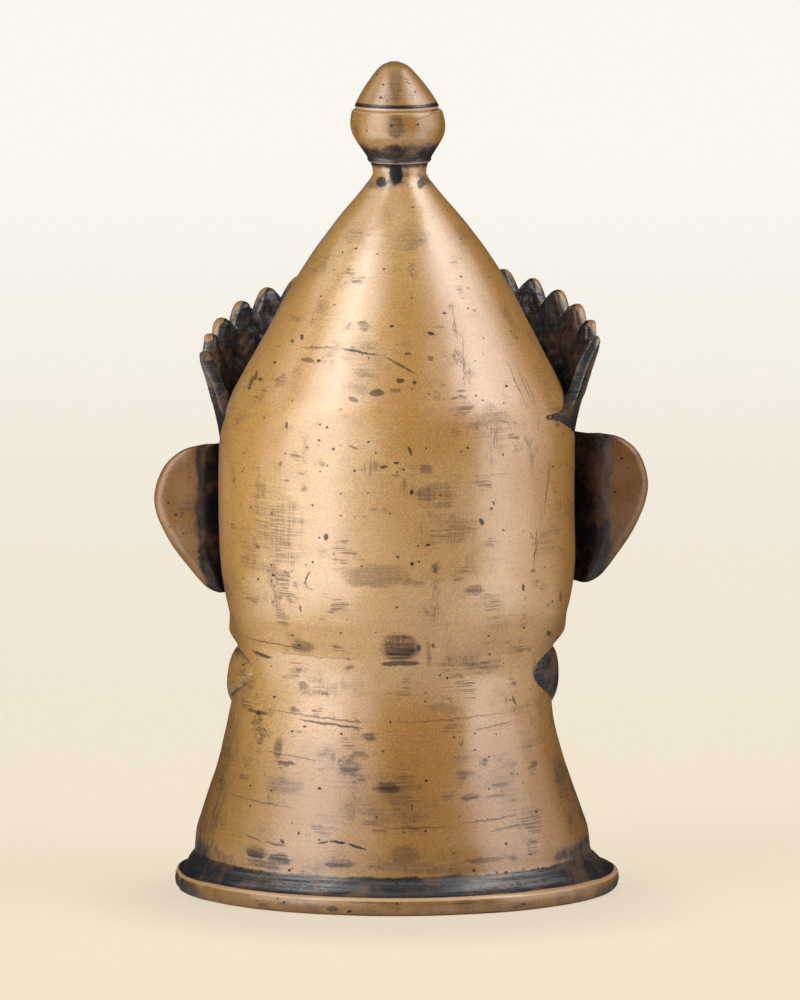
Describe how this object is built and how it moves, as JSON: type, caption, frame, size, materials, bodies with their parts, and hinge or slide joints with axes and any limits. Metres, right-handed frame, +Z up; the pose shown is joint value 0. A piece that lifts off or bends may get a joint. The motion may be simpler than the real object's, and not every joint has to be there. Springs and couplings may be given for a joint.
{
  "type": "mukhalinga",
  "caption": "Hollow cast cover for a linga, shaped as a crowned head with a pointed cap, bud finial, toothed tiara, ears, collar and flanged foot.",
  "frame": {"origin": "centre of the foot flange's underside, which is the middle of the part's footprint", "axes": "+Z up to the finial's tip; the face looks along -Y; +X is the head's own left"},
  "size_m": [0.2154, 0.194, 0.36],
  "materials": {
    "worn_brass": "old cast brass, rubbed bright on the high places, with dark brown and black patina in the recesses and fine scratches"
  },
  "bodies": {
    "root": {"mukhalinga": "worn_brass"}
  },
  "joints": []
}
